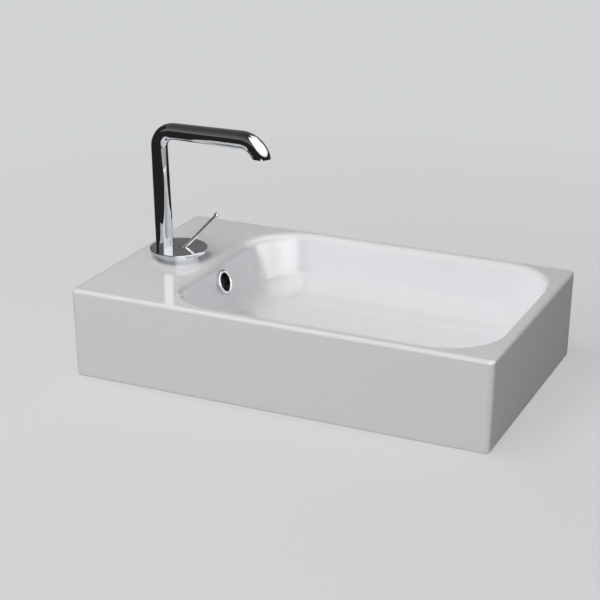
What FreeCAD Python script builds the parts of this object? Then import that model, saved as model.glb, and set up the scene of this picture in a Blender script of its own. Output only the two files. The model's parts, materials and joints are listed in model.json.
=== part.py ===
import FreeCAD, Part
import math
import os
import re

import Sketcher
from FreeCAD import Rotation, Vector

# Compact countertop washbasin of glazed china with its tap on a deck at the left.
# +X runs along the basin from the tap to the far end, -Y is the front, +Z is up.
# The origin is the middle of the underside, where the basin stands on a worktop.

doc = FreeCAD.newDocument("CountertopBasin")
sheet = doc.addObject("Spreadsheet::Sheet", "Dims")

# Driving dimensions in millimetres and degrees
SIZES = {
    # china body
    "basin_length": 500,
    "basin_width": 300,
    "basin_height": 105,
    "side_draft": 1.1,
    "corner_radius": 4.6,
    "top_edge_radius": 4.5,
    "foot_edge_radius": 1.5,
    "deck_thickness": 12,
    "foot_rim_width": 16,
    "underside_corner_radius": 14,
    "china_wall": 10,
    # bowl
    "front_lip": 12.5,
    "right_lip": 13,
    "deck_width": 107,
    "bowl_corner_radius": 67,
    "bowl_floor_height": 30,
    "wall_slope": 10,
    "soft_wall_slope": 18,
    "bowl_floor_radius": 40,
    "crisp_lip_radius": 3.5,
    "soft_lip_radius": 12,
    "back_lip_radius": 9,
    "floor_fall": 1.5,
    "fall_radius": 84,
    # overflow
    "overflow_depth": 24.5,
    "overflow_hole_radius": 13,
    "overflow_ring_lap": 1.8,
    "overflow_ring_wall": 2.3,
    "overflow_ring_stand": 5.5,
    "overflow_ring_edge": 1.6,
    "overflow_tail_length": 8,
    "channel_width": 36,
    "channel_gap": 6,
    "duct_wall": 4,
    "channel_headroom": 16,
    # waste
    "drain_gap": 2.05,
    "drain_boss_wall": 11,
    "flange_lap": 8,
    "flange_recess": 2.2,
    "flange_thickness": 1.6,
    "flange_seal_thickness": 1,
    "flange_seal_inset": 1,
    "flange_seal_width": 6,
    "tail_radius": 20.95,
    "tail_bore_radius": 16.25,
    "tail_ground_gap": 1,
    "tail_below_nut": 1.5,
    "back_nut_thickness": 6,
    "back_nut_wall": 7.05,
    "lower_washer_thickness": 2.5,
    "lower_washer_width": 8.05,
    "thread_gap": 0.1,
    "outlet_depth": 8,
    "outlet_shoulder": 0.75,
    "spider_thickness": 3,
    "spider_arm_width": 4,
    "overflow_slot_width": 9,
    "overflow_slot_height": 4,
    # click plug
    "guide_radius": 7,
    "guide_height": 10,
    "guide_floor": 1.5,
    "guide_spigot_radius": 3,
    "stem_radius": 4.2,
    "running_gap": 0.35,
    "plug_lap": 3,
    "plug_thickness": 2.6,
    "plug_edge_radius": 1.2,
    "plug_boss_gap": 0.875,
    "plug_boss_height": 2,
    "plug_seal_section": 0.7,
    "seat_cone_radius": 22,
    "seat_cone_depth": 2.6,
    "nut_notch_radius": 3,
    # tap base and fixing
    "tap_to_bowl": 49.5,
    "tap_hole_gap": 1.25,
    "foot_radius": 27,
    "foot_height": 8,
    "plate_overhang": 7.4,
    "plate_thickness": 4,
    "plate_edge": 0.9,
    "base_seal_edge": 2.5,
    "base_seal_width": 5.5,
    "base_seal_thickness": 1.5,
    "shank_radius": 16.25,
    "shank_length": 50,
    "spigot_step": 1.05,
    "spigot_height": 3,
    "inlet_radius": 5,
    "inlet_depth": 13,
    "inlet_spacing": 16,
    "passage_radius": 2.5,
    "shank_washer_width": 6.75,
    "rubber_washer_thickness": 3,
    "steel_washer_thickness": 1.5,
    "shank_nut_thickness": 8,
    "shank_nut_wall": 4.75,
    # lever and cartridge
    "lever_offset": 3,
    "cartridge_wall": 1.7,
    "cartridge_gap": 0.15,
    "cartridge_length": 28,
    "turret_wall": 0.7,
    "pivot_depth": 5,
    "slot_width": 4.6,
    "slot_end_gap": 0.75,
    "slot_back": 3,
    "barrel_radius": 2.2,
    "barrel_side_gap": 0.3,
    "pin_radius": 0.9,
    "pin_length": 12,
    "rod_radius": 2,
    "rod_length": 60.5,
    "lever_elevation": 44.6,
    "lever_azimuth": 33.4,
    "knob_radius": 3.1,
    "spindle_radius": 4,
    "spindle_length": 9,
    # spout
    "column_offset": -18.7,
    "column_lean": 1.6,
    "column_foot_radius": 10.5,
    "column_top_radius": 9.65,
    "elbow_radius": 20,
    "arm_height": 153,
    "arm_end_radius": 10.5,
    "spout_reach": 129.6,
    "beak_radius": 26,
    "beak_trim": 6.3,
    "outlet_edge_radius": 0.8,
    "throat_radius": 4,
    "waterway_radius": 5,
    "socket_inset": 3.1,
    "socket_depth": 4,
    "socket_gap": 0.1,
    "beak_lip_width": 3.6,
    "aerator_length": 3.4,
    "aerator_wall": 1,
    "aerator_recess": 0.4,
    "aerator_lip": 0.7,
    "screen_thickness": 1,
    "screen_hole_radius": 0.7,
    "screen_ring_step": 2,
}

# Counts of repeated forms, and the slack for finding edges by place
NUT_NOTCHES = 6
HEX_SIDES = 6
SCREEN_RINGS = 2
HOLES_PER_RING_STEP = 6
NEAR = 1e-3

for row, (alias, value) in enumerate(SIZES.items(), start=1):
    sheet.set(f"A{row}", alias)
    sheet.set(f"B{row}", str(value))
    sheet.setAlias(f"B{row}", alias)
doc.recompute()

# Heights and places that follow from the driving dimensions
DERIVED = {
    "deck_under": "basin_height - deck_thickness",
    "bowl_left": "deck_width - basin_length / 2",
    "bowl_right": "basin_length / 2 - right_lip",
    "bowl_side": "basin_width / 2 - front_lip",
    "tub_under": "bowl_floor_height - china_wall",
    "drain_x": "(bowl_left + bowl_right) / 2",
    "drain_hole_radius": "tail_radius + drain_gap",
    "drain_boss_radius": "drain_hole_radius + drain_boss_wall",
    "flange_radius": "drain_hole_radius + flange_lap",
    "back_nut_radius": "tail_radius + back_nut_wall",
    "lower_washer_radius": "tail_radius + lower_washer_width",
    "waste_throat_radius": "tail_bore_radius - outlet_shoulder",
    "plug_radius": "seat_cone_radius + plug_lap",
    "plug_boss_radius": "waste_throat_radius + (seat_cone_radius - waste_throat_radius)"
                        " * (1 - (plug_boss_height - running_gap) / seat_cone_depth) - plug_boss_gap",
    "drain_floor": "bowl_floor_height - floor_fall",
    "seat_z": "drain_floor - flange_recess",
    "nut_under": "tail_ground_gap + tail_below_nut",
    "boss_under": "nut_under + back_nut_thickness + lower_washer_thickness",
    "flange_under": "seat_z + flange_seal_thickness",
    "flange_top": "flange_under + flange_thickness",
    "spider_under": "tail_ground_gap + outlet_depth",
    "guide_under": "spider_under + spider_thickness",
    "overflow_height": "basin_height - overflow_depth",
    "overflow_ring_radius": "overflow_hole_radius + overflow_ring_lap",
    "overflow_bore_radius": "overflow_hole_radius - overflow_ring_wall",
    "overflow_face_x": "bowl_left + overflow_depth * tan(soft_wall_slope * 1 deg)",
    "tap_x": "bowl_left - tap_to_bowl",
    "tap_hole_radius": "shank_radius + tap_hole_gap",
    "plate_radius": "foot_radius + plate_overhang",
    "base_seal_outer": "foot_radius - base_seal_edge",
    "base_seal_inner": "base_seal_outer - base_seal_width",
    "spigot_radius": "shank_radius - spigot_step",
    "shank_washer_radius": "shank_radius + shank_washer_width",
    "shank_nut_radius": "shank_radius + shank_nut_wall",
    "cartridge_radius": "spigot_radius - lever_offset - cartridge_wall",
    "slot_reach": "pivot_depth / tan(lever_elevation * 1 deg)"
                  " + rod_radius / sin(lever_elevation * 1 deg) + slot_end_gap",
    "turret_radius": "slot_reach + turret_wall",
    "lever_x": "tap_x + lever_offset",
    "plate_top": "basin_height + foot_height + plate_thickness",
    "pivot_z": "plate_top - pivot_depth",
    "plug_under": "flange_top + running_gap",
    "barrel_length": "slot_width - 2 * barrel_side_gap",
    "column_length": "(arm_z - elbow_radius * (1 + sin(column_lean * 1 deg)) - plate_top)"
                     " / cos(column_lean * 1 deg)",
    "elbow_x": "column_x - column_length * sin(column_lean * 1 deg)"
               " + elbow_radius * cos(column_lean * 1 deg)",
    "column_sink": "column_foot_radius * tan(column_lean * 1 deg)",
    "socket_radius": "column_foot_radius - socket_inset",
    "beak_x": "outlet_x - sqrt(beak_radius ^ 2 - beak_trim ^ 2)",
    "aerator_radius": "arm_end_radius - beak_lip_width - socket_gap",
    "aerator_top": "outlet_z + aerator_recess + aerator_length",
    "column_x": "tap_x + column_offset",
    "arm_z": "basin_height + arm_height",
    "outlet_z": "arm_z - beak_radius + beak_trim",
    "outlet_x": "column_x + spout_reach",
}


def spell(text):
    """The expression with every named size written out as a cell of the sheet."""
    def swap(match):
        word = match.group(0)
        if word in DERIVED:
            return "(" + spell(DERIVED[word]) + ")"
        return "Dims." + word if word in SIZES else word
    return re.sub(r"[a-z][a-z_]+", swap, text)


def size(text):
    """The present value of an expression in named sizes, as a plain number."""
    return float(sheet.evalExpression(spell(text)))


def bind(thing, prop, text):
    thing.setExpression(prop, spell(text))


def place(thing, x="0", y="0", z="0"):
    for axis, text in zip("xyz", (x, y, z)):
        bind(thing, f"Placement.Base.{axis}", text)


def origin_plane(body, role):
    return next(plane for plane in body.Origin.OriginFeatures if plane.Role == role)


def new_body(name):
    return doc.addObject("PartDesign::Body", name)


def new_sketch(body, name, role="XY_Plane", height="0"):
    sketch = body.newObject("Sketcher::SketchObject", name)
    sketch.AttachmentSupport = [(origin_plane(body, role), "")]
    sketch.MapMode = "FlatFace"
    bind(sketch, "AttachmentOffset.Base.z", height)
    return sketch


def pin_point(sketch, geometry, corner, x, y):
    """Holds one end of a line or one centre at (x, y), both given as expressions."""
    for kind, text in (("DistanceX", x), ("DistanceY", y)):
        index = sketch.addConstraint(Sketcher.Constraint(kind, -1, 1, geometry, corner, size(text)))
        bind(sketch, f"Constraints[{index}]", text)


def draw_polygon(sketch, corners):
    """A closed outline of straight lines through corners given as pairs of expressions."""
    points = [Vector(size(x), size(y), 0) for x, y in corners]
    count = len(points)
    for index in range(count):
        sketch.addGeometry(Part.LineSegment(points[index], points[(index + 1) % count]))
    for index in range(count):
        sketch.addConstraint(Sketcher.Constraint("Coincident", index, 2, (index + 1) % count, 1))
    for index, (x, y) in enumerate(corners):
        pin_point(sketch, index, 1, x, y)


def draw_circle(sketch, radius, x="0", y="0"):
    centre = Vector(size(x), size(y), 0)
    index = sketch.addGeometry(Part.Circle(centre, Vector(0, 0, 1), size(radius)))
    held = sketch.addConstraint(Sketcher.Constraint("Radius", index, size(radius)))
    bind(sketch, f"Constraints[{held}]", radius)
    pin_point(sketch, index, 3, x, y)


def draw_rounded_box(sketch, left, right, front, back, radius):
    """A rectangle with round corners: four sides joined by four tangent arcs."""
    x0, x1, y0, y1, r = (size(text) for text in (left, right, front, back, radius))
    sides = (((x0 + r, y0), (x1 - r, y0)), ((x1, y0 + r), (x1, y1 - r)),
             ((x1 - r, y1), (x0 + r, y1)), ((x0, y1 - r), (x0, y0 + r)))
    centres = ((x1 - r, y0 + r), (x1 - r, y1 - r), (x0 + r, y1 - r), (x0 + r, y0 + r))
    up = Vector(0, 0, 1)
    for turn, (side, centre) in enumerate(zip(sides, centres)):
        sketch.addGeometry(Part.LineSegment(Vector(*side[0], 0), Vector(*side[1], 0)))
        ring = Part.Circle(Vector(*centre, 0), up, r)
        start = (turn - 1) * math.pi / 2
        sketch.addGeometry(Part.ArcOfCircle(ring, start, start + math.pi / 2))
    for turn in range(4):
        line, arc, following = 2 * turn, 2 * turn + 1, (2 * turn + 2) % 8
        sketch.addConstraint(Sketcher.Constraint("Tangent", line, 2, arc, 1))
        sketch.addConstraint(Sketcher.Constraint("Tangent", arc, 2, following, 1))
        if turn:
            sketch.addConstraint(Sketcher.Constraint("Equal", 1, arc))
    held = sketch.addConstraint(Sketcher.Constraint("Radius", 1, r))
    bind(sketch, f"Constraints[{held}]", radius)
    for line, kind, text in ((0, "DistanceY", front), (2, "DistanceX", right),
                             (4, "DistanceY", back), (6, "DistanceX", left)):
        level = "Horizontal" if kind == "DistanceY" else "Vertical"
        sketch.addConstraint(Sketcher.Constraint(level, line))
        held = sketch.addConstraint(Sketcher.Constraint(kind, -1, 1, line, 1, size(text)))
        bind(sketch, f"Constraints[{held}]", text)


def pad(body, sketch, name, length, cut=False, both_ways=False, backwards=False):
    kind = "PartDesign::Pocket" if cut else "PartDesign::Pad"
    feature = body.newObject(kind, name)
    feature.Profile = sketch
    bind(feature, "Length", length)
    feature.Midplane = both_ways
    feature.Reversed = backwards
    return feature


def turn(body, profile, name, cut=False):
    """A full turn of a profile in the XZ plane about the body's upright axis."""
    sketch = new_sketch(body, name + "Profile", "XZ_Plane")
    draw_polygon(sketch, profile)
    feature = body.newObject("PartDesign::Groove" if cut else "PartDesign::Revolution", name)
    feature.Profile = sketch
    feature.ReferenceAxis = (sketch, ["V_Axis"])
    feature.Angle = 360
    return feature


def turned_part(name, profile, x="0", z="0"):
    body = new_body(name)
    body.Label = name
    turn(body, profile, name + "Turned")
    place(body, x, "0", z)
    doc.recompute()
    return body


def round_edges(body, name, radius, chosen, kind="Fillet"):
    """Rounds or bevels those edges of the body for which chosen(edge) is true."""
    doc.recompute()
    base = body.Tip
    edges = [f"Edge{index}" for index, edge in enumerate(base.Shape.Edges, start=1) if chosen(edge)]
    feature = body.newObject("PartDesign::" + kind, name)
    feature.Base = (base, edges)
    bind(feature, "Radius" if kind == "Fillet" else "Size", radius)
    doc.recompute()
    return feature


def at_height(height):
    """Tells whether an edge lies flat at this height of its body."""
    level = size(height)
    return lambda edge: all(abs(vertex.Z - level) < NEAR for vertex in edge.Vertexes) \
        and edge.BoundBox.ZLength < NEAR


def on_ring(radius, height):
    """Tells whether an edge is part of the circle with this radius and height about the axis."""
    reach, level = size(radius), size(height)

    def test(edge):
        curve = edge.Curve
        if not isinstance(curve, Part.Circle):
            return False
        return abs(curve.Radius - reach) < NEAR and abs(curve.Center.z - level) < NEAR
    return test


def cylinder(name, radius, height):
    solid = doc.addObject("Part::Cylinder", name)
    bind(solid, "Radius", radius)
    bind(solid, "Height", height)
    return solid


def join(name, shapes):
    union = doc.addObject("Part::MultiFuse", name)
    union.Shapes = shapes
    return union


def cut(name, base, tool):
    result = doc.addObject("Part::Cut", name)
    result.Base = base
    result.Tool = tool
    return result


# China body: outer block, with the hollow underside
def bowl_outline(sketch, depth, offset):
    """The bowl's plan at a depth below the rim, moved outwards by an offset square to the walls."""
    plain = f"(({depth}) * tan(wall_slope * 1 deg) - ({offset}) / cos(wall_slope * 1 deg))"
    soft = f"(({depth}) * tan(soft_wall_slope * 1 deg) - ({offset}) / cos(soft_wall_slope * 1 deg))"
    draw_rounded_box(sketch, f"bowl_left + {soft}", f"bowl_right - {plain}",
                     f"{plain} - bowl_side", f"bowl_side - {plain}",
                     f"bowl_corner_radius - {plain}")


def bowl_solid(name, top, bottom, offset, edge_radius):
    body = new_body(name)
    rim = new_sketch(body, name + "Rim", height=top)
    bowl_outline(rim, f"basin_height - ({top})", offset)
    base = new_sketch(body, name + "Base", height=bottom)
    bowl_outline(base, f"basin_height - ({bottom})", offset)
    loft = body.newObject("PartDesign::AdditiveLoft", name + "Loft")
    loft.Profile = rim
    loft.Sections = [base]
    loft.Ruled = True
    round_edges(body, name + "Floor", edge_radius, at_height(bottom))
    return body


def outer_block():
    body = new_body("Block")
    inset = "((basin_height - top_edge_radius) * tan(side_draft * 1 deg))"
    plan = new_sketch(body, "BlockPlan")
    half_x = f"(basin_length / 2 - {inset})"
    half_y = f"(basin_width / 2 - {inset})"
    draw_rounded_box(plan, f"-{half_x}", half_x, f"-{half_y}", half_y, "corner_radius")
    block = pad(body, plan, "BlockPad", "basin_height")
    bind(block, "TaperAngle", "side_draft * 1 deg")
    round_edges(body, "BlockTop", "top_edge_radius", at_height("basin_height"))
    round_edges(body, "BlockFoot", "foot_edge_radius", at_height("0"))
    hollow = new_sketch(body, "HollowPlan")
    half_x += " - foot_rim_width"
    half_y += " - foot_rim_width"
    draw_rounded_box(hollow, f"-({half_x})", half_x, f"-({half_y})", half_y, "underside_corner_radius")
    pad(body, hollow, "HollowPocket", "deck_under", cut=True, backwards=True)
    return body


def wall_point(depth, offset):
    """The x of the soft wall's face at a depth below the rim, moved outwards by an offset."""
    return (f"(bowl_left + ({depth}) * tan(soft_wall_slope * 1 deg)"
            f" - ({offset}) / cos(soft_wall_slope * 1 deg))")


def lay_on_soft_wall(thing, stand):
    """Turns a piece's axis square to the soft wall and sets its foot this far in front of the wall."""
    thing.Placement.Rotation = Rotation(Vector(0, 1, 0), size("90 - soft_wall_slope"))
    bind(thing, "Placement.Rotation.Angle", "(90 - soft_wall_slope) * 1 deg")
    place(thing, f"overflow_face_x + ({stand}) * cos(soft_wall_slope * 1 deg)", "0",
          f"overflow_height + ({stand}) * sin(soft_wall_slope * 1 deg)")


def duct_solid(name, width, back, under, top, inner, inner_floor):
    """A bent block that follows the soft wall down and then runs under the floor to the drain."""
    body = new_body(name)
    side = new_sketch(body, name + "Side", "XZ_Plane")
    draw_polygon(side, (
        (wall_point(f"basin_height - ({top})", back), top),
        (wall_point(f"basin_height - ({under})", back), under),
        ("drain_x", under),
        ("drain_x", inner_floor),
        (wall_point(f"basin_height - ({inner_floor})", inner), inner_floor),
        (wall_point(f"basin_height - ({top})", inner), top)))
    pad(body, side, name + "Pad", width, both_ways=True)
    return body


def basin_body():
    block = outer_block()
    overlap = "deck_thickness / 4"
    tub = bowl_solid("Tub", f"deck_under + {overlap}", "tub_under", "china_wall",
                     "bowl_floor_radius + china_wall")
    bowl = bowl_solid("Bowl", "basin_height", "bowl_floor_height", "0", "bowl_floor_radius")
    fall = turned_part("Fall", (
        ("0", "bowl_floor_height"), ("fall_radius", "bowl_floor_height"),
        ("flange_radius + flange_recess", "drain_floor"), ("0", "drain_floor")), "drain_x")
    reach = "china_wall + channel_gap"
    duct = duct_solid("Duct", "channel_width + 2 * duct_wall", reach + " + duct_wall",
                      "boss_under", f"deck_under + {overlap}", "china_wall / 2",
                      "tub_under + china_wall / 2")
    channel = duct_solid("Channel", "channel_width", reach, "boss_under + duct_wall",
                         "overflow_height + channel_headroom / 2", "china_wall", "tub_under")
    boss = cylinder("Boss", "drain_boss_radius", "tub_under + china_wall / 2 - boss_under")
    place(boss, "drain_x", "0", "boss_under")
    drain = cylinder("DrainHole", "drain_hole_radius", "basin_height")
    place(drain, "drain_x")
    recess = cylinder("FlangeRecess", "flange_radius + flange_recess / 2", "basin_height")
    place(recess, "drain_x", "0", "seat_z")
    tap_hole = cylinder("TapHole", "tap_hole_radius", "2 * deck_thickness")
    place(tap_hole, "tap_x", "0", "deck_under - deck_thickness / 2")
    overflow = cylinder("OverflowHole", "overflow_hole_radius", "3 * china_wall")
    lay_on_soft_wall(overflow, "-(china_wall + channel_gap / 2)")
    solid = join("China", [block, tub, duct, boss])
    hollow = join("ChinaHollows", [bowl, fall, channel, drain, recess, tap_hole, overflow])
    china = cut("ChinaCut", solid, hollow)
    doc.recompute()
    return roll_rim(china)


def roll_rim(china):
    """Rounds the bowl's rim: a soft roll on the deck side that tightens along the back to a crisp edge."""
    on_top = at_height("basin_height")
    left, right, side = size("bowl_left"), size("bowl_right"), size("bowl_side")
    slack = size("crisp_lip_radius") / 2

    def lip_radius(vertex):
        if vertex.X < left + slack:
            return size("soft_lip_radius")
        return size("back_lip_radius" if vertex.Y > side - slack else "crisp_lip_radius")

    rows = []
    for index, edge in enumerate(china.Shape.Edges, start=1):
        middle = edge.CenterOfMass
        inside = left - slack < middle.x < right + slack and abs(middle.y) < side + slack
        if inside and on_top(edge):
            rows.append((index, lip_radius(edge.firstVertex()), lip_radius(edge.lastVertex())))
    rim = doc.addObject("Part::Fillet", "basin_body")
    rim.Base = china
    rim.Edges = rows
    doc.recompute()
    return rim


def overflow_ring():
    ring = turned_part("overflow_ring", (
        ("overflow_bore_radius", "-overflow_tail_length"),
        ("overflow_hole_radius - thread_gap", "-overflow_tail_length"),
        ("overflow_hole_radius - thread_gap", "0"),
        ("overflow_ring_radius", "0"),
        ("overflow_ring_radius", "overflow_ring_stand"),
        ("overflow_bore_radius", "overflow_ring_stand")))
    round_edges(ring, "RingEdges", "overflow_ring_edge", at_height("overflow_ring_stand"))
    lay_on_soft_wall(ring, "0")
    return ring


# Waste: flanged body with a tail through the floor, its seals and nut, and the click plug
def plus_outline(sketch, reach, width):
    """The outline of two crossed bars."""
    far, near = reach, f"{width} / 2"
    draw_polygon(sketch, (
        (near, near), (far, near), (far, f"-{near}"), (near, f"-{near}"),
        (near, f"-{far}"), (f"-{near}", f"-{far}"), (f"-{near}", f"-{near}"),
        (f"-{far}", f"-{near}"), (f"-{far}", near), (f"-{near}", near),
        (f"-{near}", far), (near, far)))


def waste_body():
    body = turned_part("waste_body", (
        ("tail_bore_radius", "tail_ground_gap"),
        ("tail_radius", "tail_ground_gap"),
        ("tail_radius", "flange_under"),
        ("flange_radius", "flange_under"),
        ("flange_radius", "flange_top"),
        ("seat_cone_radius", "flange_top"),
        ("waste_throat_radius", "flange_top - seat_cone_depth"),
        ("waste_throat_radius", "spider_under"),
        ("tail_bore_radius", "spider_under")), "drain_x")
    arms = new_sketch(body, "SpiderArms", height="spider_under")
    plus_outline(arms, "(waste_throat_radius + tail_radius) / 2", "spider_arm_width")
    pad(body, arms, "SpiderPad", "spider_thickness")
    hub = new_sketch(body, "SpiderHub", height="spider_under")
    draw_circle(hub, "guide_radius")
    pad(body, hub, "HubPad", "spider_thickness")
    hole = new_sketch(body, "HubHole", height="spider_under")
    draw_circle(hole, "guide_spigot_radius + thread_gap")
    pad(body, hole, "HubPocket", "spider_thickness", cut=True, backwards=True)
    middle = "(boss_under + duct_wall + tub_under) / 2"
    for plane in ("XZ_Plane", "YZ_Plane"):
        slot = new_sketch(body, "OverflowSlot" + plane[:2], plane)
        half = "overflow_slot_width / 2"
        low = f"{middle} - overflow_slot_height / 2"
        high = f"{middle} + overflow_slot_height / 2"
        draw_polygon(slot, ((f"-{half}", low), (half, low), (half, high), (f"-{half}", high)))
        pad(body, slot, "SlotPocket" + plane[:2], "4 * tail_radius", cut=True, both_ways=True)
    round_edges(body, "FlangeEdge", "flange_thickness / 2", on_ring("flange_radius", "flange_top"))
    return body


def ring_part(name, inner, outer, low, high, x):
    return turned_part(name, ((inner, low), (outer, low), (outer, high), (inner, high)), x)


def waste_back_nut():
    top = "nut_under + back_nut_thickness"
    body = ring_part("waste_back_nut", "tail_radius + thread_gap", "back_nut_radius",
                     "nut_under", top, "drain_x")
    notch = new_sketch(body, "NutNotch", height="nut_under")
    draw_circle(notch, "nut_notch_radius", "back_nut_radius")
    pocket = pad(body, notch, "NutNotchPocket", "back_nut_thickness", cut=True, backwards=True)
    repeat_around(body, pocket, "NutNotches", NUT_NOTCHES)
    return body


def repeat_around(body, feature, name, count):
    """Repeats a feature evenly about the body's upright axis."""
    pattern = body.newObject("PartDesign::PolarPattern", name)
    pattern.Originals = [feature]
    pattern.Axis = (feature.Profile[0], ["N_Axis"])
    pattern.Angle = 360
    pattern.Occurrences = count
    body.Tip = pattern
    doc.recompute()


def waste_parts():
    seal_inner = "drain_hole_radius + flange_seal_inset"
    washer_inner = "tail_radius + running_gap"
    guide_top = "guide_under + guide_height"
    bore = "stem_radius + running_gap"
    return [
        waste_body(),
        ring_part("waste_flange_seal", seal_inner, seal_inner + " + flange_seal_width",
                  "seat_z", "flange_under", "drain_x"),
        ring_part("waste_lower_washer", washer_inner, "lower_washer_radius",
                  "boss_under - lower_washer_thickness", "boss_under", "drain_x"),
        waste_back_nut(),
        turned_part("plug_guide", (
            ("0", "spider_under"), ("guide_spigot_radius", "spider_under"),
            ("guide_spigot_radius", "guide_under"), ("guide_radius", "guide_under"),
            ("guide_radius", guide_top), (bore, guide_top),
            (bore, "guide_under + guide_floor"), ("0", "guide_under + guide_floor")), "drain_x")]


def plug_parts():
    foot = "guide_under + guide_floor + running_gap"
    boss_under = "plug_under - plug_boss_height"
    top = "plug_under + plug_thickness"
    cap = turned_part("plug_cap", (
        ("0", boss_under), ("plug_boss_radius", boss_under), ("plug_boss_radius", "plug_under"),
        ("plug_radius", "plug_under"), ("plug_radius", top), ("0", top)), "drain_x")
    round_edges(cap, "CapEdge", "plug_edge_radius", on_ring("plug_radius", top))
    stem = cylinder("plug_stem", "stem_radius", f"{boss_under} - ({foot})")
    place(stem, "drain_x", "0", foot)
    seal = doc.addObject("Part::Torus", "plug_seal")
    bind(seal, "Radius1", "plug_boss_radius + plug_seal_section")
    bind(seal, "Radius2", "plug_seal_section")
    place(seal, "drain_x", "0", "plug_under - plug_seal_section")
    return [cap, stem, seal]


# Tap: plate on a foot, threaded shank through the deck with its nut and washers, cartridge inside
def tap_base():
    recess = "spigot_radius + thread_gap"
    top = "foot_height + plate_thickness"
    body = turned_part("tap_base", (
        ("0", "spigot_height"), (recess, "spigot_height"), (recess, "0"),
        ("base_seal_inner", "0"), ("base_seal_inner", "base_seal_thickness"),
        ("base_seal_outer", "base_seal_thickness"), ("base_seal_outer", "0"),
        ("foot_radius", "0"), ("foot_radius", "foot_height"),
        ("plate_radius", "foot_height"), ("plate_radius", top), ("0", top)), "tap_x", "basin_height")
    well = new_sketch(body, "TurretWell", height=top)
    draw_circle(well, "turret_radius + running_gap", "lever_offset")
    pad(body, well, "TurretPocket", f"{top} - spigot_height", cut=True)
    socket = new_sketch(body, "SpoutSocket", height=top)
    draw_circle(socket, "socket_radius", "column_offset")
    pad(body, socket, "SocketPocket", "socket_depth", cut=True)
    round_edges(body, "PlateEdge", "plate_edge", on_ring("plate_radius", top))
    return body


def tap_shank():
    body = turned_part("tap_shank", (
        ("0", "-shank_length"), ("shank_radius", "-shank_length"), ("shank_radius", "0"),
        ("spigot_radius", "0"), ("spigot_radius", "spigot_height"), ("0", "spigot_height")),
        "tap_x", "basin_height")
    bore = new_sketch(body, "CartridgeBore", height="spigot_height")
    draw_circle(bore, "cartridge_radius + cartridge_gap", "lever_offset")
    pad(body, bore, "CartridgePocket", "cartridge_length", cut=True)
    to_cartridge = "shank_length + spigot_height - cartridge_length"
    for name, radius, depth in (("Inlet", "inlet_radius", "inlet_depth"),
                                ("Passage", "passage_radius", to_cartridge)):
        ports = new_sketch(body, name + "Ports", height="-shank_length")
        for side in ("inlet_spacing / 2", "-inlet_spacing / 2"):
            draw_circle(ports, radius, "0", side)
        pad(body, ports, name + "Pocket", depth, cut=True, backwards=True)
    return body


def shank_nut():
    body = new_body("shank_nut")
    low = "deck_under - rubber_washer_thickness - steel_washer_thickness - shank_nut_thickness"
    plan = new_sketch(body, "NutPlan")
    turns = [360 * corner // HEX_SIDES for corner in range(HEX_SIDES)]
    draw_polygon(plan, [(f"shank_nut_radius * cos({angle} deg)", f"shank_nut_radius * sin({angle} deg)")
                        for angle in turns])
    draw_circle(plan, "shank_radius + thread_gap")
    pad(body, plan, "NutPad", "shank_nut_thickness")
    place(body, "tap_x", "0", low)
    return body


def tap_parts():
    steel_top = "deck_under - rubber_washer_thickness"
    washer_inner = "shank_radius + running_gap"
    spindle = "spindle_radius + running_gap"
    spindle_end = "spigot_height - spindle_length - running_gap"
    cartridge = turned_part("tap_cartridge", (
        ("0", "spigot_height - cartridge_length"), ("cartridge_radius", "spigot_height - cartridge_length"),
        ("cartridge_radius", "spigot_height"), (spindle, "spigot_height"),
        (spindle, spindle_end), ("0", spindle_end)), "lever_x", "basin_height")
    return [
        tap_base(),
        ring_part("tap_base_seal", "base_seal_inner + thread_gap", "base_seal_outer - thread_gap",
                  "basin_height", "basin_height + base_seal_thickness", "tap_x"),
        tap_shank(),
        cartridge,
        ring_part("shank_rubber_washer", washer_inner, "shank_washer_radius",
                  steel_top, "deck_under", "tap_x"),
        ring_part("shank_steel_washer", washer_inner, "shank_washer_radius",
                  f"{steel_top} - steel_washer_thickness", steel_top, "tap_x"),
        shank_nut()]


# Lever: a turret that turns in the plate, and a thin rod with a round knob hinged in its slot
def aim(thing, x, z, yaw, pitch, along="0"):
    """Places a piece at (x, 0, z), turned about the upright axis and then tilted, and moved along its axis."""
    level = f"({along}) * sin({pitch} * 1 deg)"
    bind(thing, "Placement",
         f"placement(vector({x} + {level} * cos({yaw} * 1 deg); {level} * sin({yaw} * 1 deg);"
         f" {z} + ({along}) * cos({pitch} * 1 deg)); rotation({yaw}; {pitch}; 0))")


def lever_turret():
    low = "spigot_height + running_gap"
    top = "foot_height + plate_thickness"
    body = turned_part("lever_turret", (
        ("0", "spigot_height - spindle_length"), ("spindle_radius", "spigot_height - spindle_length"),
        ("spindle_radius", low), ("turret_radius", low), ("turret_radius", top), ("0", top)))
    slot = new_sketch(body, "RodSlot", height=top)
    half = "slot_width / 2"
    draw_polygon(slot, (("-slot_back", f"-{half}"), ("slot_reach", f"-{half}"),
                        ("slot_reach", half), ("-slot_back", half)))
    pad(body, slot, "RodSlotPocket", "pivot_depth + barrel_radius + running_gap", cut=True)
    bore = new_sketch(body, "PinBore", "XZ_Plane")
    draw_circle(bore, "pin_radius + thread_gap", "0", f"{top} - pivot_depth")
    pad(body, bore, "PinBorePocket", "pin_length", cut=True, both_ways=True)
    aim(body, "lever_x", "basin_height", "lever_azimuth", "0")
    return body


def cross_bar(name, radius, length):
    """A round bar lying across the lever, centred on the hinge."""
    bar = cylinder(name, radius, length)
    bind(bar, "Placement",
         f"placement(vector(lever_x + {length} / 2 * sin(lever_azimuth * 1 deg);"
         f" -{length} / 2 * cos(lever_azimuth * 1 deg); pivot_z); rotation(lever_azimuth; 0; -90))")
    return bar


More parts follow.
